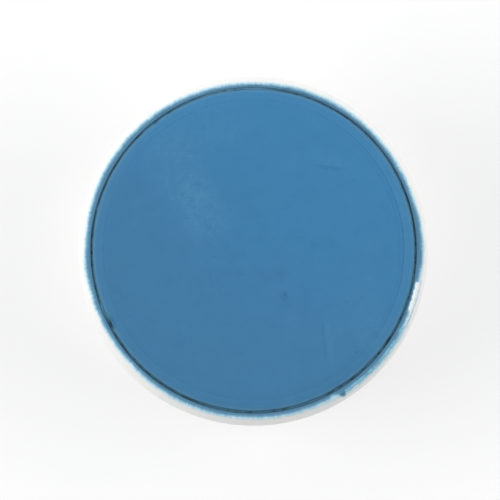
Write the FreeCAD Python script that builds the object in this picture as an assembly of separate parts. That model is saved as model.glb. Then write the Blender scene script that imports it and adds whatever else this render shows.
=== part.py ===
"""Round cue chalk: a pressed chalk cake stuck into a moulded cup, with a paper label round the side.

Millimetres. The origin is the centre of the foot, on the surface that the cup stands on, and +Z is up
through the chalk's working face. Every piece is turned about Z from a half outline of (radius, height).
The cup's bore is the shape of a turned core, taken out slightly off the cup's axis.
"""

import FreeCAD
import Part
import math
import os

# Cup: a thin-walled polypropylene moulding, open at the top
cup_diameter = 25.0
cup_height = 19.7
wall_thickness = 0.85
floor_thickness = 1.2
bore_fillet = 0.4           # where the bore meets the floor, inside
core_shift_x = 0.03         # the mould's core sat slightly off the cup's axis, so the wall isn't quite even
core_shift_y = 0.06

# Lip: a narrow flat land at the bore, then a slope that falls to the side
lip_slope_width = 0.5       # radial
lip_slope_drop = 0.7        # vertical
lip_land_radius = 0.08      # rounding of the land's inner edge
lip_slope_radius = 0.12     # rounding at both ends of the slope

# Foot: a ring that the cup stands on, round a recess that holds the stub of the moulding's gate
foot_height = 0.5
foot_width = 1.6            # of the ring, from its inner face to where its outer edge starts to round
foot_edge_radius = 0.7      # outer bottom edge of the cup
foot_inner_radius = 0.15    # rounding of the ring's inner edge
gate_stub_diameter = 1.8
gate_stub_height = 0.2      # how far it hangs down from the recess's ceiling

# Chalk cake: a pressed cylinder that stands a little above the lip
cake_clearance = 0.12       # radial, between the cake and the bore
cake_stands_proud = 0.3
cake_shift_y = 0.02         # the cake was stuck down slightly off the bore's axis
cake_bevel_width = 0.9      # the shallow bevel that the press leaves round the face
cake_bevel_drop = 0.12
cake_edge_radius = 0.15     # at the top outer edge
cake_foot_chamfer = 0.5     # at the bottom outer edge

# Glue: a disc of hot-melt, pressed flat between the cup's floor and the cake
glue_thickness = 0.4
glue_margin = 1.5           # how far the glue's edge lies inside the cake's

# Label: a paper band stuck into a shallow panel in the side
label_height = 14.0
label_thickness = 0.1
label_glue = 0.02           # film behind the paper
label_sits_below = 0.03     # the paper's face lies this far under the side, so that handling spares it
label_end_gap = 0.15        # axial, between the paper and each end of its panel
label_seam_gap = 0.6        # between the paper's two ends, round the side
label_seam_angle = 135.0    # degrees from +X

# Radii and levels that follow from those
cup_radius = cup_diameter / 2
bore_radius = cup_radius - wall_thickness
land_outer_radius = cup_radius - lip_slope_width
slope_foot_level = cup_height - lip_slope_drop
foot_outer_radius = cup_radius - foot_edge_radius
foot_bore_radius = foot_outer_radius - foot_width
floor_level = foot_height + floor_thickness

cake_radius = bore_radius - cake_clearance
cake_bottom = floor_level + glue_thickness
cake_top = cup_height + cake_stands_proud
glue_radius = cake_radius - glue_margin

label_outer_radius = cup_radius - label_sits_below
label_inner_radius = label_outer_radius - label_thickness
panel_radius = label_inner_radius - label_glue
side_middle = (foot_edge_radius + slope_foot_level) / 2
label_bottom = side_middle - label_height / 2
label_top = side_middle + label_height / 2
panel_bottom = label_bottom - label_end_gap
panel_top = label_top + label_end_gap

cup_centre = FreeCAD.Vector(0, 0, 0)
core_centre = FreeCAD.Vector(core_shift_x, core_shift_y, 0)
cake_centre = core_centre + FreeCAD.Vector(0, cake_shift_y, 0)
up = FreeCAD.Vector(0, 0, 1)


def rounded_corner(before, corner, after, radius):
    """The arc that rounds a corner, as its start, middle and end points."""
    back = (before - corner).normalize()
    ahead = (after - corner).normalize()
    half_angle = back.getAngle(ahead) / 2
    reach = radius / math.tan(half_angle)
    inward = (back + ahead).normalize()
    middle = corner + inward * (radius / math.sin(half_angle) - radius)
    return corner + back * reach, middle, corner + ahead * reach


def half_outline(corners):
    """A closed wire in the XZ plane, through corners of (radius, height) or (radius, height, rounding).

    The first corner is a sharp one.
    """
    points = [FreeCAD.Vector(corner[0], 0, corner[1]) for corner in corners]
    edges = []
    pen = points[0]
    for index in range(1, len(points) + 1):
        corner = corners[index % len(corners)]
        point = points[index % len(points)]
        if len(corner) == 3:
            after = points[(index + 1) % len(points)]
            start, middle, end = rounded_corner(points[index - 1], point, after, corner[2])
            edges.append(Part.LineSegment(pen, start).toShape())
            edges.append(Part.Arc(start, middle, end).toShape())
            pen = end
        else:
            edges.append(Part.LineSegment(pen, point).toShape())
            pen = point
    return Part.Wire(edges)


def turned(corners, sweep=360.0):
    """The solid that a half outline makes, turned about Z from +X."""
    return Part.Face(half_outline(corners)).revolve(cup_centre, up, sweep)


def mould_core():
    """The inside of the cup as a solid, long enough to pass out through the lip."""
    core_top = cup_height + wall_thickness
    core = turned([
        (0, floor_level),
        (bore_radius, floor_level, bore_fillet),
        (bore_radius, core_top),
        (0, core_top),
    ])
    core.translate(core_centre)
    return core


def edge_at(solid, radius, level):
    """The solid's round edge of that radius at that height."""
    for edge in solid.Edges:
        if isinstance(edge.Curve, Part.Circle):
            if math.isclose(edge.Curve.Radius, radius) and math.isclose(edge.Curve.Center.z, level):
                return edge
    raise ValueError(f"no round edge of radius {radius} at height {level}")


def chalk_cup():
    """One moulding: foot ring, recessed floor, side with its label panel, lip and bore."""
    gate_stub_radius = gate_stub_diameter / 2
    gate_stub_bottom = foot_height - gate_stub_height
    outside = turned([
        (0, gate_stub_bottom),
        (gate_stub_radius, gate_stub_bottom),
        (gate_stub_radius, foot_height),
        (foot_bore_radius, foot_height),
        (foot_bore_radius, 0, foot_inner_radius),
        (cup_radius, 0, foot_edge_radius),
        (cup_radius, panel_bottom),
        (panel_radius, panel_bottom),
        (panel_radius, panel_top),
        (cup_radius, panel_top),
        (cup_radius, slope_foot_level, lip_slope_radius),
        (land_outer_radius, cup_height, lip_slope_radius),
        (0, cup_height),
    ])
    cup = outside.cut(mould_core())
    return cup.makeFillet(lip_land_radius, [edge_at(cup, bore_radius, cup_height)])


def chalk_cake():
    """The pressed chalk, with a shallow bevel round its face."""
    cake = turned([
        (0, cake_bottom),
        (cake_radius - cake_foot_chamfer, cake_bottom),
        (cake_radius, cake_bottom + cake_foot_chamfer),
        (cake_radius, cake_top - cake_bevel_drop, cake_edge_radius),
        (cake_radius - cake_bevel_width, cake_top),
        (0, cake_top),
    ])
    cake.translate(cake_centre)
    return cake


def glue_disc():
    """The glue that holds the cake down on the cup's floor, squeezed out evenly under the cake."""
    glue = turned([
        (0, floor_level),
        (glue_radius, floor_level),
        (glue_radius, cake_bottom),
        (0, cake_bottom),
    ])
    glue.translate(cake_centre)
    return glue


def side_label():
    """The paper band, open at its seam."""
    seam_sweep = math.degrees(label_seam_gap / label_outer_radius)
    band = turned(
        [
            (label_inner_radius, label_bottom),
            (label_outer_radius, label_bottom),
            (label_outer_radius, label_top),
            (label_inner_radius, label_top),
        ],
        sweep=360.0 - seam_sweep,
    )
    band.rotate(cup_centre, up, label_seam_angle + seam_sweep / 2)
    return band


os.makedirs("parts", exist_ok=True)
for piece in (chalk_cup, chalk_cake, glue_disc, side_label):
    solid = piece()
    solid.exportStep(f"parts/{piece.__name__}.step")
    print(f"{piece.__name__}: valid {solid.isValid()}, {solid.Volume:.1f} mm3")
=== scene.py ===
import math

import bpy
import numpy as np
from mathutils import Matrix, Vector


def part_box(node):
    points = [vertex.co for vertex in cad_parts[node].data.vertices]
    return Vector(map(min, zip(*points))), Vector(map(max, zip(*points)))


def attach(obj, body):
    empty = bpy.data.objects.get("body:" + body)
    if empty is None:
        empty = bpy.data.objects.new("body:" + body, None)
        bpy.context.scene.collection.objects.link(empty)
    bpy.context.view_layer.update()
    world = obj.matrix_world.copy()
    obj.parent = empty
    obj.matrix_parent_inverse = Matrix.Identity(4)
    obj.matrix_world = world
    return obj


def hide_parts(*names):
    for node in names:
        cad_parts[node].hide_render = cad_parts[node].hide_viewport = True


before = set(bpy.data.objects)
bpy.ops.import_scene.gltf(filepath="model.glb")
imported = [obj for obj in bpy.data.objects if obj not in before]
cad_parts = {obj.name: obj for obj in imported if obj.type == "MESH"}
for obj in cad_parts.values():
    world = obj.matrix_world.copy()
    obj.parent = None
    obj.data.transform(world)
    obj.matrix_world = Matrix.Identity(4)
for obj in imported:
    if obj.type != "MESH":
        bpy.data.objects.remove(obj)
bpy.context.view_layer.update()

# A round cue chalk in its moulded cup. Sizes in the dictionaries are millimetres, and angles are degrees
# counter-clockwise from +X as seen from above. Blender itself works in metres.

mm = 0.001


def boxOf(node):
    # a CAD node's middle, half width, lowest and highest level, in millimetres
    low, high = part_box(node)
    middle = (low + high) / 2 / mm
    return (middle.x, middle.y), (high.x - low.x) / 2 / mm, low.z / mm, high.z / mm


cupMiddle, cupRadius, _, cupTop = boxOf("chalk_cup")
cakeMiddle, cakeRadius, cakeBottom, cakeTop = boxOf("chalk_cake")
glueMiddle, glueRadius, glueBottom, glueTop = boxOf("glue_disc")
labelMiddle, labelRadius, labelBottom, labelTop = boxOf("side_label")
print("frame loaded")


# Surfaces

def arcCorner(before, corner, after, rounding, steps):
    # the arc about corner + bisector * rounding / sin(half angle), from one tangent point to the other
    back = (before - corner) / np.linalg.norm(before - corner)
    ahead = (after - corner) / np.linalg.norm(after - corner)
    half = math.acos(back @ ahead) / 2
    bisector = (back + ahead) / np.linalg.norm(back + ahead)
    centre = corner + bisector * rounding / math.sin(half)
    start = corner + back * rounding / math.tan(half) - centre
    end = corner + ahead * rounding / math.tan(half) - centre
    turn = math.atan2(start[0] * end[1] - start[1] * end[0], start @ end)
    angles = np.linspace(0, turn, steps)[:, None]
    return centre + start * np.cos(angles) + np.array([-start[1], start[0]]) * np.sin(angles)


def roundedOutline(corners, closed=False, steps=8, guard=0.02):
    # corners of (radius, height, rounding, spacing of the run that follows). A run's points are evenly
    # spaced, with one more a guard's length from each end, which keeps the shading of a flat face flat
    points = np.array([corner[:2] for corner in corners], float)
    arcs = []
    for i, (_, _, rounding, _) in enumerate(corners):
        if rounding:
            following = points[(i + 1) % len(points)]
            arcs.append(arcCorner(points[i - 1], points[i], following, rounding, steps))
        else:
            arcs.append(points[i][None])
    outline = []
    for i in range(len(corners) if closed else len(corners) - 1):
        start, end = arcs[i][-1], arcs[(i + 1) % len(arcs)][0]
        length = np.linalg.norm(end - start)
        along = np.linspace(0, length, max(1, math.ceil(length / corners[i][3])), endpoint=False)
        if length > 3 * guard:
            along = np.unique(np.concatenate([along, [guard, length - guard]]))
        outline += [arcs[i][:-1], start + (end - start) * (along / length)[:, None]]
    return np.concatenate(outline if closed else outline + [arcs[-1]])


def wave(angles, seed, orders):
    # a seeded wobble round a circle, from about -1 to 1: a sum of cosines, each of a whole number of turns
    random = np.random.default_rng(seed)
    phases = random.uniform(0, 2 * np.pi, len(orders))
    sizes = random.uniform(0.5, 1, len(orders))
    return (np.cos(angles[..., None] * np.array(orders) + phases) * sizes).sum(-1) / sizes.sum()


def relief(x, y, seed, wavelength, waves=36):
    # seeded bumps over a plane, with a spread of 1: a sum of plane waves of about one length, each with
    # a heading of its own
    random = np.random.default_rng(seed)
    heading = random.uniform(0, 2 * np.pi, waves)
    number = 2 * np.pi / (wavelength * random.uniform(0.7, 1.5, waves))
    phase = random.uniform(0, 2 * np.pi, waves)
    total = 0
    for k in range(waves):
        along = x * math.cos(heading[k]) + y * math.sin(heading[k])
        total = total + np.cos(number[k] * along + phase[k])
    return total * math.sqrt(2 / waves)


def hump(angles, middle, width):
    # 1 at the middle angle and nearly 0 two widths away: exp(-(difference / width) squared)
    away = (np.degrees(angles) - middle + 180) % 360 - 180
    return np.exp(-(away / width) ** 2)


def eased(value, start, end):
    # 0 up to start, 1 from end on, and 3t^2 - 2t^3 between them
    share = np.clip((value - start) / (end - start), 0, 1)
    return share * share * (3 - 2 * share)


def turned(radius, height, angles, middle):
    # x = radius cos(angle), y = radius sin(angle), about the middle; millimetres in, metres out
    x = radius * np.cos(angles) + middle[0]
    y = radius * np.sin(angles) + middle[1]
    return np.stack(np.broadcast_arrays(x, y, height), axis=-1) * mm


def makePiece(name, points, finish, node):
    # points are a grid of rows, each of which closes on itself. The first row and the last are each a
    # single point, so the surface closes there with a fan
    rings = points[1:-1]
    rows, columns = rings.shape[:2]
    index = np.arange(rows * columns).reshape(rows, columns)
    ahead = np.roll(index, -1, axis=1)
    quads = np.stack([index[:-1], ahead[:-1], ahead[1:], index[1:]], axis=-1).reshape(-1, 4)
    first = np.full(columns, rows * columns)
    fans = [*np.stack([first, ahead[0], index[0]], axis=-1).tolist(),
            *np.stack([first + 1, index[-1], ahead[-1]], axis=-1).tolist()]
    vertices = np.concatenate([rings.reshape(-1, 3), points[0, :1], points[-1, :1]])
    mesh = bpy.data.meshes.new(name)
    mesh.from_pydata(vertices.tolist(), [], quads.tolist() + fans)
    mesh.shade_smooth()
    mesh.materials.append(finish)
    piece = bpy.data.objects.new(name, mesh)
    bpy.context.scene.collection.objects.link(piece)
    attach(piece, "root")
    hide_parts(node)
    print(name, "made:", len(quads) * 2 + len(fans), "triangles")


# Shader sums

class Wire:
    # one output socket; arithmetic on it adds Math nodes, so that a mask reads as its formula
    def __init__(self, finish, socket):
        self.finish = finish
        self.socket = socket

    def __add__(self, other):
        return self.finish.math("ADD", self, other)

    __radd__ = __add__

    def __sub__(self, other):
        return self.finish.math("SUBTRACT", self, other)

    def __rsub__(self, other):
        return self.finish.math("SUBTRACT", other, self)

    def __mul__(self, other):
        return self.finish.math("MULTIPLY", self, other)

    def __abs__(self):
        return self.finish.math("ABSOLUTE", self)


class Finish:
    # a material being put together; place is the piece's own coordinates in millimetres
    def __init__(self, name):
        self.material = bpy.data.materials.new(name)
        self.material.use_nodes = True
        self.tree = self.material.node_tree
        self.tree.nodes.clear()
        coordinates = self.node("ShaderNodeTexCoord", {}, {}, "Object")
        self.place = self.node("ShaderNodeVectorMath", {"operation": "SCALE"},
                               {"Vector": coordinates, "Scale": 1 / mm}, "Vector")
        self.x, self.y, self.z = (
            self.node("ShaderNodeSeparateXYZ", {}, {"Vector": self.place}, axis) for axis in "XYZ")

    def node(self, kind, settings, inputs, output=None):
        made = self.tree.nodes.new(kind)
        for name, value in settings.items():
            setattr(made, name, value)
        sockets = {socket.identifier: socket for socket in made.inputs}
        for name, value in inputs.items():
            if isinstance(value, Wire):
                self.tree.links.new(value.socket, sockets[name])
            else:
                sockets[name].default_value = value
        return Wire(self, next((socket for socket in made.outputs if socket.identifier == output), None))

    def math(self, operation, *values):
        inputs = dict(zip(("Value", "Value_001"), values))
        return self.node("ShaderNodeMath", {"operation": operation}, inputs, "Value")

    def eased(self, value, start, end):
        # 0 at start, 1 at end, eased between them; start may be the larger
        return self.node("ShaderNodeMapRange", {"interpolation_type": "SMOOTHSTEP"},
                         {"Value": value, "From Min": start, "From Max": end}, "Result")

    def band(self, value, start, end, soft):
        return self.eased(value, start - soft, start + soft) * self.eased(value, end + soft, end - soft)

    def noise(self, perMillimetre, detail=2.0, seed=0.0, place=None):
        # runs from 0 to 1 about 0.5
        inputs = {"Vector": place or self.place, "W": seed, "Scale": perMillimetre, "Detail": detail}
        return self.node("ShaderNodeTexNoise", {"noise_dimensions": "4D"}, inputs, "Fac")

    def stretched(self, x, y, z):
        return self.node("ShaderNodeVectorMath", {"operation": "MULTIPLY"},
                         {"Vector": self.place, "Vector_001": (x, y, z)}, "Vector")

    def radius(self, middle=(0.0, 0.0)):
        across, along = self.x - middle[0], self.y - middle[1]
        return self.math("SQRT", across * across + along * along)

    def rayed(self, radius, stretch):
        # a place whose first two coordinates run round a circle of that radius, and whose third is the
        # distance from the axis, less the height, over the stretch: noise there is drawn out across the rim
        flat = self.node("ShaderNodeCombineXYZ", {}, {"X": self.x, "Y": self.y}, "Vector")
        heading = self.node("ShaderNodeVectorMath", {"operation": "NORMALIZE"}, {"Vector": flat}, "Vector")
        onCircle = self.node("ShaderNodeVectorMath", {"operation": "SCALE"},
                             {"Vector": heading, "Scale": radius}, "Vector")
        across = (self.radius() - self.z) * (1 / stretch)
        outward = self.node("ShaderNodeCombineXYZ", {}, {"Z": across}, "Vector")
        return self.node("ShaderNodeVectorMath", {"operation": "ADD"},
                         {"Vector": onCircle, "Vector_001": outward}, "Vector")

    def angleFrom(self, middle):
        # degrees round the axis from the middle angle, from -180 to 180
        c, s = math.cos(math.radians(middle)), math.sin(math.radians(middle))
        return self.math("ARCTAN2", self.y * c - self.x * s, self.x * c + self.y * s) * math.degrees(1)

    def sector(self, start, end, soft):
        half = (end - start) / 2
        return self.eased(abs(self.angleFrom(start + half)), half + soft, half - soft)

    def humps(self, rows):
        # the sum of eased humps round the axis, each a middle angle, a half width in degrees and a height
        return sum(self.eased(abs(self.angleFrom(middle)), halfWidth, 0.0) * height
                   for middle, halfWidth, height in rows)

    def spot(self, x, y, across, along, turn, strength):
        # strength at the middle of a turned oval and 0 at its edge
        c, s = math.cos(math.radians(turn)), math.sin(math.radians(turn))
        u = ((self.x - x) * c + (self.y - y) * s) * (1 / across)
        v = ((self.y - y) * c - (self.x - x) * s) * (1 / along)
        return self.eased(u * u + v * v, 1.0, 0.0) * strength

    def spots(self, rows):
        return sum(self.spot(*row) for row in rows)

    def mixed(self, factor, first, second):
        return self.node("ShaderNodeMix", {"data_type": "RGBA"},
                         {"Factor_Float": factor, "A_Color": first, "B_Color": second}, "Result_Color")

    def ramp(self, factor, stops):
        # stops are pairs of place and colour
        made = self.node("ShaderNodeValToRGB", {}, {"Fac": factor}, "Color")
        elements = made.socket.node.color_ramp.elements
        while len(elements) < len(stops):
            elements.new(1.0)
        for element, (place, colour) in zip(elements, stops):
            element.position = place
            element.color = colour
        return made

    def complete(self, colour, roughness, height, depth, specular=0.5, **constants):
        # depth is the relief in millimetres that a height of 1 stands for
        normal = self.node("ShaderNodeBump", {}, {"Height": height, "Distance": depth * mm}, "Normal")
        inputs = {"Base Color": colour, "Roughness": roughness, "Normal": normal,
                  "Specular IOR Level": specular, **constants}
        surface = self.node("ShaderNodeBsdfPrincipled", {}, inputs, "BSDF")
        self.node("ShaderNodeOutputMaterial", {}, {"Surface": surface})
        return self.material


def screenColour(red, green, blue):
    # a colour of 0 to 255 on a screen as the linear colour that a shader takes
    share = np.array([red, green, blue]) / 255
    linear = np.where(share <= 0.04045, share / 12.92, ((share + 0.055) / 1.055) ** 2.4)
    return (*linear.tolist(), 1.0)


# Chalk cake

cake = {
    "spokes": 576,
    "bevelWidth": 0.9,           # the shallow bevel that the press leaves round the face
    "bevelDrop": 0.12,
    "edgeRounding": 0.15,
    "footChamfer": 0.5,
    "edgeWobble": 0.05,          # how far the brittle edge falls back, at most
    "faceRelief": 0.005,         # depth of the face's unevenness, for one spread of its bumps
    "pressRing": (10.74, 0.05, 0.012),   # the press leaves a fine groove: radius, width, depth
    "chips": [                   # angle, width in degrees, depth
        (206.8, 1.9, 0.17),
        (209.5, 1.0, 0.08),
        (127.5, 0.7, 0.11),
        (121.0, 0.8, 0.05),
        (96.0, 1.3, 0.05),
        (88.0, 0.8, 0.05),
        (302.0, 0.8, 0.05),
        (62.0, 0.9, 0.05),
        (22.0, 1.6, 0.04),
    ],
    "dustBelow": 0.15,           # how far under the lip the dust in the gap lies
    "dustLevels": [              # angle, half width in degrees, how much higher it lies
        (94.0, 16.0, 0.18),
        (201.0, 5.0, 0.16),
        (345.0, 10.0, 0.05),
        (62.0, 18.0, -0.04),
        (127.5, 2.0, -0.12),
        (148.0, 14.0, 0.03),
        (207.5, 2.5, -0.2),
        (238.0, 14.0, -0.05),
        (268.0, 36.0, -0.16),
        (326.0, 6.0, -0.05),
    ],
    # painted shade: the largest chip's pocket is darkened here
    "nickShade": (205.2, 208.6),      # where the largest chip's broken face shows dark
    # how much the press ring's painted groove shade and the bevel's painted light show round the face
    "ringShows": [               # angle, half width in degrees, how much more the press ring shows there
        (10.0, 62.0, 0.6),
        (185.0, 40.0, 0.12),
    ],
    "rubs": [                    # rubbed ovals: x, y, half width, half length, turn in degrees, strength
        (-3.7, 2.9, 2.2, 3.2, 25.0, 0.7),
        (-5.4, 5.6, 2.6, 3.6, 35.0, 0.5),
        (-3.6, 8.6, 4.5, 2.2, 15.0, 0.4),
        (8.6, -5.4, 1.9, 4.0, 30.0, 0.35),
        (5.6, 6.4, 1.6, 0.45, -8.0, 0.5),
        (5.4, -6.6, 0.4, 2.0, 5.0, 0.5),
    ],
    "marks": [                   # dark ovals, given as the rubs are
        (2.2, -3.2, 0.42, 0.5, 0.0, 0.32),
        (2.3, -3.1, 0.14, 0.2, 0.0, 0.5),
        (5.5, 5.95, 1.5, 0.2, -8.0, 0.24),
        (5.1, -6.6, 0.2, 1.8, 5.0, 0.24),
    ],
    # the chalk's two tones, which the face's painted light and shade also mix between
    "greyBlue": screenColour(64, 118, 158),
    "blue": screenColour(62, 124, 169),
    "pale": screenColour(83, 139, 175),
    "dark": screenColour(52, 98, 136),
    "edge": screenColour(90, 136, 163),
    "gapDust": screenColour(86, 134, 157),
    # painted shade for the gap and for the very edge of the cake beside it
    "gapShade": screenColour(58, 84, 94),
}


def chalkFinish():
    finish = Finish("chalkFinish")
    clouds = finish.noise(0.13, 2.0, seed=1.0)
    patches = finish.noise(0.9, 4.0, seed=2.0)
    grain = finish.noise(9.0, 3.0, seed=3.0)
    radius = finish.radius(cakeMiddle)
    # painted light and shade: bluer and brighter towards +X +Y and greyer towards -X -Y, as the light falls,
    # with a cloudy tone over it; and a little darker in the middle
    tintAndPaintedLight = finish.x * 0.035 + finish.y * 0.045 + (clouds - 0.5) * 0.8 + 0.5
    colour = finish.mixed(finish.eased(tintAndPaintedLight, 0.0, 1.0), cake["greyBlue"], cake["blue"])
    shade = (patches - 0.5) * 0.8 + (grain - 0.5) * 0.55 - finish.eased(radius, 9.0, 0.0) * 0.1
    colour = finish.mixed(finish.eased(shade, 0.0, 0.8), colour, cake["pale"])
    colour = finish.mixed(finish.eased(shade, 0.0, -0.8), colour, cake["dark"])
    # rubbed places, broken up by the grain
    grained = finish.eased(finish.noise(2.4, 5.0, seed=4.0) + (grain - 0.5) * 0.5, 0.2, 0.75)
    colour = finish.mixed(finish.spots(cake["rubs"]) * grained * 0.6, colour, cake["pale"])
    # marks and pits are darker; the press ring's groove is painted darker as shade, with a fainter painted
    # line just inside it
    pits = finish.eased(finish.noise(3.1, 1.0, seed=5.0), 0.25, 0.19)
    grooveRadius, grooveWidth, _ = cake["pressRing"]
    ringed = 0.16 + finish.humps(cake["ringShows"])
    groove = finish.eased(abs(radius - grooveRadius), grooveWidth, 0.0)
    inner = finish.eased(abs(radius - grooveRadius + 0.3), grooveWidth * 1.4, 0.0)
    darkened = finish.spots(cake["marks"]) + pits * 0.4 + (groove + inner * 0.3) * ringed * 0.8
    colour = finish.mixed(darkened, colour, cake["dark"])
    # painted light: the bevel is paler, as if lit; the edge is paler with worn dust; and the very edge is
    # darkened in blotches, painted shade beside the gap
    bevel = finish.eased(radius, grooveRadius, grooveRadius + 0.1) * ringed
    colour = finish.mixed(bevel * 0.3, colour, cake["pale"])
    worn = finish.eased(radius, cakeRadius - 0.32, cakeRadius - 0.05)
    colour = finish.mixed(worn * 0.55, colour, cake["edge"])
    blotches = finish.eased(finish.noise(2.2, 3.0, seed=7.0), 0.47, 0.66)
    # painted shade in the largest chip's pocket and at the very edge beside the gap
    nickShade = finish.sector(*cake["nickShade"], 0.6) * finish.eased(radius, cakeRadius - 0.16, cakeRadius - 0.06)
    edgeShade = finish.eased(radius, cakeRadius - 0.07, cakeRadius) * (0.2 + blotches * 0.4)
    colour = finish.mixed(finish.math("MAXIMUM", edgeShade, nickShade * 0.8), colour, cake["gapShade"])
    # the gap itself: below the face, outside the cake's edge, where its dust is darkened in blotches as
    # painted shade
    below = finish.eased(finish.z, cakeTop - 0.2, cakeTop - 0.35)
    inGap = finish.eased(radius, cakeRadius - 0.03, cakeRadius) * below
    gapDustAndShade = finish.mixed(blotches * 0.8, cake["gapDust"], cake["gapShade"])
    colour = finish.mixed(inGap, colour, gapDustAndShade)
    height = grain * 0.6 + finish.noise(25.0, 2.0, seed=6.0) * 0.4 - pits
    return finish.complete(colour, 0.95, height, 0.03, specular=0.15)


def chalkCake():
    # a turned outline with a shelf of loose dust in the gap round it. Near the top edge the radius falls by
    # the chips' humps and a fine wobble, and the face sinks by seeded bumps and by the press ring's hump
    boreRadius = cupRadius - cup["wall"]
    dustTop = cupTop - cake["dustBelow"]
    outline = roundedOutline([
        (0, cakeBottom, 0, 3.0),
        (cakeRadius - cake["footChamfer"], cakeBottom, 0.05, 0.3),
        (cakeRadius, cakeBottom + cake["footChamfer"], 0.05, 3.0),
        (cakeRadius, dustTop - 0.5, 0.05, 0.1),
        (boreRadius - 0.01, dustTop - 0.3, 0.05, 0.1),
        (boreRadius - 0.01, dustTop, 0.03, 0.1),
        (cakeRadius, dustTop, 0.03, 0.06),
        (cakeRadius, cakeTop - cake["bevelDrop"], cake["edgeRounding"], 0.07),
        (cakeRadius - cake["bevelWidth"] + 0.3, cakeTop - 0.04, 0, 0.025),
        (cakeRadius - cake["bevelWidth"] - 0.25, cakeTop, 0, 0.1),
        (0, cakeTop, 0, 0.1),
    ])
    angles = np.linspace(0, 2 * np.pi, cake["spokes"], endpoint=False)[None, :]
    radius, height = outline[:, :1], outline[:, 1:]
    x, y = radius * np.cos(angles), radius * np.sin(angles)
    chipped = sum(depth * hump(angles, middle, width) for middle, width, depth in cake["chips"])
    ragged = (1 + wave(angles, 7, [3, 17, 29, 43, 61, 83, 97, 113, 131, 151])) / 2 * cake["edgeWobble"]
    nearEdge = eased(height, dustTop, cakeTop - 0.2) * eased(radius, cakeRadius - 0.35, cakeRadius - 0.1)
    inward = (chipped + ragged) * nearEdge * (height > dustTop + 0.01)
    onFace = eased(height, cakeTop - 0.4, cakeTop - 0.15)
    sunk = np.clip(2 + relief(x, y, 11, 2.5) + 0.5 * relief(x, y, 12, 0.5), 0, 5) * cake["faceRelief"]
    grooveRadius, grooveWidth, grooveDepth = cake["pressRing"]
    groove = grooveDepth * np.exp(-((radius - grooveRadius) / grooveWidth) ** 2)
    sunk = sunk * eased(radius, 0, 1.0) + groove
    # the dust's level rises in places and is uneven everywhere
    inGap = eased(height, dustTop - 0.5, dustTop - 0.03) * (radius >= cakeRadius - 0.001) * (1 - onFace)
    inGap = inGap * eased(height, cakeTop - 0.2, dustTop + 0.05)
    lift = sum(rise * hump(angles, middle, width / 2) for middle, width, rise in cake["dustLevels"])
    lift = lift + 0.08 * wave(angles, 8, [5, 11, 19, 31, 57, 97])
    level = height - sunk * onFace - 0.6 * inward + lift * inGap
    points = turned(radius - inward, level, angles, cakeMiddle)
    # the dust's outer face follows the bore, which isn't quite round the cake
    toBore = (radius > cakeRadius + 0.02) * mm
    points[..., 0] += toBore * (cupMiddle[0] + cup["coreShift"][0] - cakeMiddle[0])
    points[..., 1] += toBore * (cupMiddle[1] + cup["coreShift"][1] - cakeMiddle[1])
    makePiece("chalkCake", points, chalkFinish(), "chalk_cake")


# Moulded cup

cup = {
    "segments": 512,
    "wall": 0.85,
    "coreShift": (0.03, 0.06),
    "floor": 1.2,
    "footHeight": 0.5,
    "footEdge": 0.7,
    "footWidth": 1.6,
    "slopeWidth": 0.5,
    "slopeDrop": 0.7,
    "slopeRounding": 0.12,
    "landRounding": 0.08,
    "stub": (0.9, 0.2),          # the gate's stub: radius, drop
    "panelDepth": 0.15,
    "panelEndGap": 0.15,
    "lipWobble": 0.015,          # how far the lip's height dips, at most
    # the side's grey: painted shade, and grime from handling
    "sideShadeAndGrime": screenColour(208, 208, 203),
    "scuffed": screenColour(168, 167, 161),
    "dustSteps": [               # the chalk dust on the lip, from bare plastic to fully blue
        (0.0, screenColour(243, 243, 242)),
        (0.1, screenColour(228, 239, 242)),
        (0.28, screenColour(203, 228, 237)),
        (0.5, screenColour(160, 201, 220)),
        (0.75, screenColour(113, 161, 188)),
        (1.0, screenColour(78, 126, 157)),
    ],
    "dustLevel": (17.6, 18.6),   # the heights between which the lip's stain fades in
    "dustEdge": (11.74, 12.25),  # dust is thick inside the first radius and gone outside the second
    "dustSpreads": [             # angle, half width in degrees, how much further out the dust reaches
        (4.0, 18.0, 0.11),
        (148.0, 42.0, 0.075),
        (184.0, 10.0, 0.09),
        (225.0, 26.0, -0.03),
        (318.0, 24.0, 0.05),
        (357.0, 9.0, 0.05),
        (40.0, 25.0, -0.03),
        (92.0, 20.0, -0.05),
    ],
    "smear": (301.0, 337.0),     # where the dust was wiped across the lip
    "wipedRadii": (11.82, 12.02),        # the wipe bites from the first radius and is whole from the second
    "filmRadii": (11.9, 12.3),   # where it left a film
    "thinned": (5.82, -10.43, 0.42, 0.28, 0.0, 0.35),    # x, y, half width, half length, turn, strength
    "blob": (6.42, -10.2, 0.34, 0.26, -58.0, 0.65),      # a crumb's worth of dust, given in the same way
    "barePatch": 344.2,          # the middle of the stretch where the lip was wiped bare
    "bareTurn": (-5.0, 4.9),     # degrees that it runs each way from there
    "bareRadii": (11.8, 12.12),
    "bareTail": (333.5, 340.0),  # a fainter stretch that leads up to it
    "tailRadii": (11.98, 12.12),
    "rimScuff": (335.0, 350.0),  # a line of dust outside them
    "scuffRadii": (12.15, 12.22),
    "fresh": screenColour(108, 184, 220),
}


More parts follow.
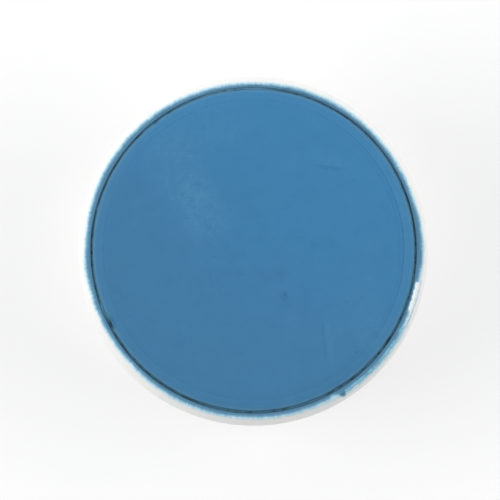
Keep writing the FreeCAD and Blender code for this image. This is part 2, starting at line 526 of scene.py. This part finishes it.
def cupFinish():
    finish = Finish("cupFinish")
    radius = finish.radius(cup["coreShift"])
    # dust from the chalk, whose outer edge wanders and frays into rays
    coarse = finish.noise(0.9, 2.0, seed=1.0)
    fine = finish.noise(5.0, 3.0, seed=2.0, place=finish.rayed(cupRadius, 3.0))
    onTop = finish.eased(finish.z, *cup["dustLevel"])
    outward = (coarse - 0.5) * 0.16 + (fine - 0.5) * 0.2 + finish.humps(cup["dustSpreads"])
    dust = finish.eased(radius - outward, cup["dustEdge"][1], cup["dustEdge"][0])
    # the smear
    smeared = finish.sector(*cup["smear"], 3.0)
    streaks = finish.noise(2.6, 4.0, seed=3.0, place=finish.rayed(cupRadius, 1.6))
    streaks = finish.eased(streaks, 0.32, 0.68)
    wiped = smeared * finish.eased(radius, *cup["wipedRadii"]) * streaks * 0.8 + finish.spot(*cup["thinned"])
    film = smeared * finish.band(radius, *cup["filmRadii"], 0.16) * (0.18 + streaks * 0.24)
    dust = dust * (1 - wiped) + film + finish.spot(*cup["blob"])
    # the bare patch, with ragged sides and ends
    ragged = (finish.noise(4.0, 4.0, seed=4.0) - 0.5) * 0.3
    ends = finish.noise(3.0, 3.0, seed=9.0) * 3.0 - 1.5
    alongPatch = finish.band(finish.angleFrom(cup["barePatch"]) + ends, *cup["bareTurn"], 0.5)
    patch = finish.band(radius + ragged, *cup["bareRadii"], 0.05) * alongPatch
    tail = finish.band(radius + ragged, *cup["tailRadii"], 0.05) * finish.sector(*cup["bareTail"], 0.8)
    dust = dust * (1 - finish.math("MINIMUM", patch + tail * 0.8, 1.0) * 0.93) * onTop
    # a haze, specks and a line of dust that reach further down
    haze = finish.eased(finish.noise(0.45, 4.0, seed=5.0), 0.52, 0.75)
    haze = haze * finish.eased(finish.z, 14.0, 19.0) * 0.1
    specks = finish.eased(finish.noise(5.5, 1.0, seed=6.0), 0.74, 0.8)
    specks = specks * finish.eased(finish.z, 8.0, 19.0) * 0.35
    rimScuff = finish.band(radius + ragged * 0.3, *cup["scuffRadii"], 0.04)
    rimScuff = finish.sector(*cup["rimScuff"], 2.0) * rimScuff * 0.34
    dust = finish.math("MINIMUM", dust + haze + specks + rimScuff, 1.0)
    colour = finish.ramp(dust, cup["dustSteps"])
    fresh = smeared * finish.band(dust, 0.3, 0.85, 0.15) * finish.eased(radius, 12.2, 12.0)
    colour = finish.mixed(fresh * (0.2 + streaks * 0.4), colour, cup["fresh"])
    # the side below the lip is greyed, partly painted shade that sets it apart from the lip and partly grime
    # from handling; it is scratched round by the holder and scuffed where it stands
    side = finish.eased(finish.z, 19.0, 18.5)
    grime = finish.eased(finish.noise(0.3, 5.0, seed=10.0), 0.3, 0.7)
    scratches = finish.noise(1.0, 2.0, seed=11.0, place=finish.stretched(0.25, 0.25, 9.0))
    scratches = finish.eased(scratches, 0.6, 0.7)
    sideShadedAndGrimy = side * (0.35 + grime * 0.3 + scratches * 0.2) * (1 - dust)
    colour = finish.mixed(sideShadedAndGrimy, colour, cup["sideShadeAndGrime"])
    worn = finish.eased(finish.z, 1.2, 0.0) * finish.eased(finish.radius(), 10.2, 10.5)
    worn = worn * finish.eased(finish.noise(1.6, 4.0, seed=12.0), 0.42, 0.62)
    colour = finish.mixed(worn * 0.55, colour, cup["scuffed"])
    height = finish.noise(6.0, 3.0, seed=7.0) * (0.15 + dust) + finish.noise(30.0, 2.0, seed=8.0) * dust
    rough = finish.eased(dust, 0.0, 0.6) * 0.5 + side * (grime * 0.12 + scratches * 0.15)
    rough = rough + worn * 0.25 + 0.36
    return finish.complete(colour, rough, height - side * scratches * 0.4, 0.015, specular=0.45)


def chalkCup():
    # two turned outlines joined on the land: the outside with its foot, label panel and slope, and the
    # bore, whose axis is the core's. The lip's height wobbles slightly
    bore = cupRadius - cup["wall"]
    land = cupRadius - cup["slopeWidth"]
    floor = cup["footHeight"] + cup["floor"]
    panelBottom, panelTop = labelBottom - cup["panelEndGap"], labelTop + cup["panelEndGap"]
    panel = cupRadius - cup["panelDepth"]
    footBore = cupRadius - cup["footEdge"] - cup["footWidth"]
    stubRadius, stubDrop = cup["stub"]
    outside = roundedOutline([
        (0, cup["footHeight"] - stubDrop, 0, 0.3),
        (stubRadius, cup["footHeight"] - stubDrop, 0.06, 0.1),
        (stubRadius, cup["footHeight"], 0.05, 1.0),
        (footBore, cup["footHeight"], 0.12, 0.2),
        (footBore, 0, 0.15, 0.3),
        (cupRadius, 0, cup["footEdge"], 0.5),
        (cupRadius, panelBottom, 0.04, 0.1),
        (panel, panelBottom, 0.03, 2.0),
        (panel, panelTop, 0.03, 0.1),
        (cupRadius, panelTop, 0.04, 0.3),
        (cupRadius, cupTop - cup["slopeDrop"], cup["slopeRounding"], 0.1),
        (land, cupTop, cup["slopeRounding"], 0.05),
        ((land + bore) / 2, cupTop, 0, 0.05),
    ])
    inside = roundedOutline([
        ((land + bore) / 2 - 0.03, cupTop, 0, 0.05),
        (bore, cupTop, cup["landRounding"], 0.3),
        (bore, floor, 0.4, 1.0),
        (0, floor, 0, 1.0),
    ])
    angles = np.linspace(0, 2 * np.pi, cup["segments"], endpoint=False)[None, :]
    lower = (1 + wave(angles, 21, [2, 3, 5, 9, 14, 23])) / 2 * cup["lipWobble"]
    rows = []
    for outline, shift in ((outside, (0, 0)), (inside, cup["coreShift"])):
        radius, height = outline[:, :1], outline[:, 1:]
        middle = (cupMiddle[0] + shift[0], cupMiddle[1] + shift[1])
        level = height - lower * eased(height, cupTop - 1.2, cupTop - 0.3)
        rows.append(turned(radius, level, angles, middle))
    makePiece("chalkCup", np.concatenate(rows), cupFinish(), "chalk_cup")


chalkCup()
chalkCake()


# Paper label

label = {
    "steps": 480,
    "thickness": 0.1,
    "seamAngle": 135.0,
    "seamGap": 0.6,
    "ripple": 0.006,             # how far the paper sinks, at most
    "bandHalfHeight": 4.6,
    "rule": (5.1, 5.35),         # a thin line above and below the band: from and to, off the middle
    "paper": screenColour(236, 233, 224),
    "aged": screenColour(219, 212, 195),
    "print": screenColour(52, 98, 140),
    "rubbedPrint": screenColour(120, 152, 180),
    "dust": screenColour(168, 197, 216),
    "dirt": screenColour(176, 168, 150),
}


def labelFinish():
    # a printed band and two rules on paper that has been handled: the ink is rubbed through in places,
    # chalk has been smudged over the upper part, and the cut edges are grubby
    finish = Finish("labelFinish")
    middle = (labelBottom + labelTop) / 2
    fibre = finish.noise(3.0, 4.0, seed=1.0, place=finish.stretched(1, 1, 3))
    grain = finish.noise(16.0, 2.0, seed=2.0)
    away = abs(finish.z - middle) + (grain - 0.5) * 0.05
    printed = finish.band(away, -1.0, label["bandHalfHeight"], 0.02)
    printed = printed + finish.band(away, *label["rule"], 0.02)
    paper = finish.mixed(finish.eased(finish.noise(0.35, 5.0, seed=3.0) + (fibre - 0.5) * 0.4, 0.3, 0.8),
                         label["paper"], label["aged"])
    rubbed = finish.eased(finish.noise(0.5, 6.0, seed=4.0) + (grain - 0.5) * 0.3, 0.56, 0.72)
    creases = finish.noise(1.3, 3.0, seed=5.0, place=finish.stretched(1.0, 1.0, 0.12))
    creases = finish.eased(creases, 0.66, 0.72)
    bare = rubbed * 0.4 + creases * 0.35 + finish.eased(fibre, 0.62, 0.8) * 0.25
    bare = finish.math("MINIMUM", bare, 1.0)
    ink = finish.mixed(bare, label["print"], label["rubbedPrint"])
    colour = finish.mixed(printed, paper, ink)
    smudged = finish.eased(finish.noise(0.4, 5.0, seed=6.0), 0.48, 0.75) * finish.eased(finish.z, 5.0, 16.5)
    colour = finish.mixed(smudged * 0.42, colour, label["dust"])
    seam = finish.eased(abs(finish.angleFrom(label["seamAngle"])), 3.6, 1.4) * 0.6
    cutEdge = finish.eased(abs(finish.z - middle), labelTop - middle - 0.45, labelTop - middle)
    dirt = finish.math("MAXIMUM", seam, cutEdge) * finish.eased(finish.noise(1.4, 4.0, seed=7.0), 0.3, 0.7)
    colour = finish.mixed(dirt * 0.6, colour, label["dirt"])
    height = fibre * 0.5 + grain * 0.3 - creases * 0.6 - rubbed * 0.3
    rough = 0.68 - printed * 0.2 + bare * 0.15
    return finish.complete(colour, rough, height, 0.02, specular=0.35)


def sideLabel():
    # a thin rectangular section carried round the cup from one side of the seam to the other
    half = math.degrees(label["seamGap"] / labelRadius) / 2
    inner = labelRadius - label["thickness"]
    section = roundedOutline([
        (inner, labelBottom, 0.02, 0.2),
        (labelRadius, labelBottom, 0.02, 0.5),
        (labelRadius, labelTop, 0.02, 0.2),
        (inner, labelTop, 0.02, 0.5),
    ], closed=True, steps=4, guard=0.01)[::-1]
    start = label["seamAngle"] + half
    angles = np.radians(np.linspace(start, start + 360 - 2 * half, label["steps"]))[:, None]
    radius, height = section[None, :, 0], section[None, :, 1]
    rippled = np.clip(2 + relief(angles * labelRadius, height, 31, 5.0), 0, 4) / 4 * label["ripple"]
    rings = turned(radius - rippled, height, angles, labelMiddle)
    ends = rings[[0, -1]].mean(axis=1, keepdims=True).repeat(rings.shape[1], axis=1)
    points = np.concatenate([ends[:1], rings, ends[1:]])
    makePiece("sideLabel", points, labelFinish(), "side_label")


sideLabel()


# Glue

glue = {
    "segments": 180,
    "wobble": 0.5,
    "pale": screenColour(222, 212, 184),
    "dark": screenColour(206, 192, 156),
}


def glueFinish():
    finish = Finish("glueFinish")
    swirl = finish.noise(0.6, 3.0, seed=1.0)
    colour = finish.mixed(swirl, glue["pale"], glue["dark"])
    return finish.complete(colour, 0.45, swirl, 0.02)


def glueDisc():
    # a flat disc whose edge bulges, with a radius that wobbles as squeezed glue does
    thickness = glueTop - glueBottom
    outline = roundedOutline([
        (0, glueBottom, 0, 1.0),
        (glueRadius, glueBottom, thickness * 0.45, 0.2),
        (glueRadius, glueTop, thickness * 0.45, 1.0),
        (0, glueTop, 0, 1.0),
    ])
    angles = np.linspace(0, 2 * np.pi, glue["segments"], endpoint=False)[None, :]
    radius, height = outline[:, :1], outline[:, 1:]
    shrink = 1 - (1 + wave(angles, 41, [2, 3, 5, 8])) / 2 * glue["wobble"] / glueRadius
    points = turned(radius * shrink, height, angles, glueMiddle)
    makePiece("glueDisc", points, glueFinish(), "glue_disc")


glueDisc()


# Floor, light and camera

stage = {
    "floorWidth": 6000.0,
    "floorColour": screenColour(165, 165, 165),
    "floorSpeckle": screenColour(163, 163, 163),
    "floorGlow": 0.61,           # light that the table gives off itself, which keeps its shadows soft
    "skyHeading": (-0.6, 0.8, 0.0),
    "skyStart": -0.7,            # the cosine from that heading at which the first strength below holds
    "sky": (0.03, 0.78),         # the white surroundings' strength there and along the heading
    "backdrop": 0.84,            # their strength as the camera sees them
    "lamps": {                   # place, width, height, watts
        "leftSoftbox": ((-290.0, -15.0, 280.0), 260.0, 360.0, 0.95),
        "rightSoftbox": ((290.0, 20.0, 290.0), 260.0, 360.0, 0.93),
        "backSoftbox": ((0.0, 330.0, 230.0), 360.0, 260.0, 0.14),
    },
}


def makeFloor():
    finish = Finish("floorFinish")
    speckle = finish.noise(0.3, 2.0, seed=1.0)
    colour = finish.mixed(speckle, stage["floorColour"], stage["floorSpeckle"])
    half = stage["floorWidth"] * mm / 2
    mesh = bpy.data.meshes.new("floor")
    corners = [(-half, -half, 0), (half, -half, 0), (half, half, 0), (-half, half, 0)]
    mesh.from_pydata(corners, [], [(0, 1, 2, 3)])
    glow = {"Emission Color": (1.0, 1.0, 1.0, 1.0), "Emission Strength": stage["floorGlow"]}
    mesh.materials.append(finish.complete(colour, 0.9, speckle, 0.001, specular=0.1, **glow))
    floor = bpy.data.objects.new("floor", mesh)
    bpy.context.scene.collection.objects.link(floor)


def makeSky():
    # white surroundings whose light grows evenly towards one side, behind a white backdrop
    world = bpy.data.worlds.new("studio")
    world.use_nodes = True
    nodes, links = world.node_tree.nodes, world.node_tree.links
    heading = nodes.new("ShaderNodeTexCoord").outputs["Generated"]
    towards = nodes.new("ShaderNodeVectorMath")
    towards.operation = "DOT_PRODUCT"
    towards.inputs[1].default_value = stage["skyHeading"]
    light = nodes.new("ShaderNodeMapRange")
    light.inputs["From Min"].default_value = stage["skyStart"]
    light.inputs["To Min"].default_value, light.inputs["To Max"].default_value = stage["sky"]
    strength = nodes.new("ShaderNodeMix")
    strength.inputs["B"].default_value = stage["backdrop"]
    nodes["Background"].inputs["Color"].default_value = (1.0, 1.0, 1.0, 1.0)
    links.new(heading, towards.inputs[0])
    links.new(towards.outputs["Value"], light.inputs["Value"])
    links.new(nodes.new("ShaderNodeLightPath").outputs["Is Camera Ray"], strength.inputs["Factor"])
    links.new(light.outputs["Result"], strength.inputs["A"])
    links.new(strength.outputs["Result"], nodes["Background"].inputs["Strength"])
    bpy.context.scene.world = world


def makeLamps():
    target = Vector((0, 0, cupTop * mm))
    for name, (place, width, height, watts) in stage["lamps"].items():
        data = bpy.data.lights.new(name, "AREA")
        data.shape = "RECTANGLE"
        data.size, data.size_y = width * mm, height * mm
        data.energy = watts
        lamp = bpy.data.objects.new(name, data)
        lamp.location = Vector(place) * mm
        lamp.rotation_euler = (target - lamp.location).to_track_quat("-Z", "Y").to_euler()
        bpy.context.scene.collection.objects.link(lamp)


camera = {
    "height": 420.0,             # above the table
    "aside": (-0.23, 0.09),      # off the cup's axis
    "cupShare": 0.698,           # the cup's width as a share of the picture's
    "sensor": 36.0,
}


def makeCamera():
    # straight down, with +Y up the picture; lens = sensor * distance / width seen at the cup's widest level
    data = bpy.data.cameras.new("overhead")
    distance = camera["height"] - (cupTop - cup["slopeDrop"])
    data.sensor_width = camera["sensor"]
    data.lens = camera["sensor"] * distance * camera["cupShare"] / (2 * cupRadius)
    overhead = bpy.data.objects.new("overhead", data)
    overhead.location = Vector((*camera["aside"], camera["height"])) * mm
    bpy.context.scene.collection.objects.link(overhead)
    bpy.context.scene.camera = overhead


makeFloor()
makeSky()
makeLamps()
makeCamera()
bpy.context.scene.view_settings.view_transform = "Standard"
print("stage, lamps and camera made")
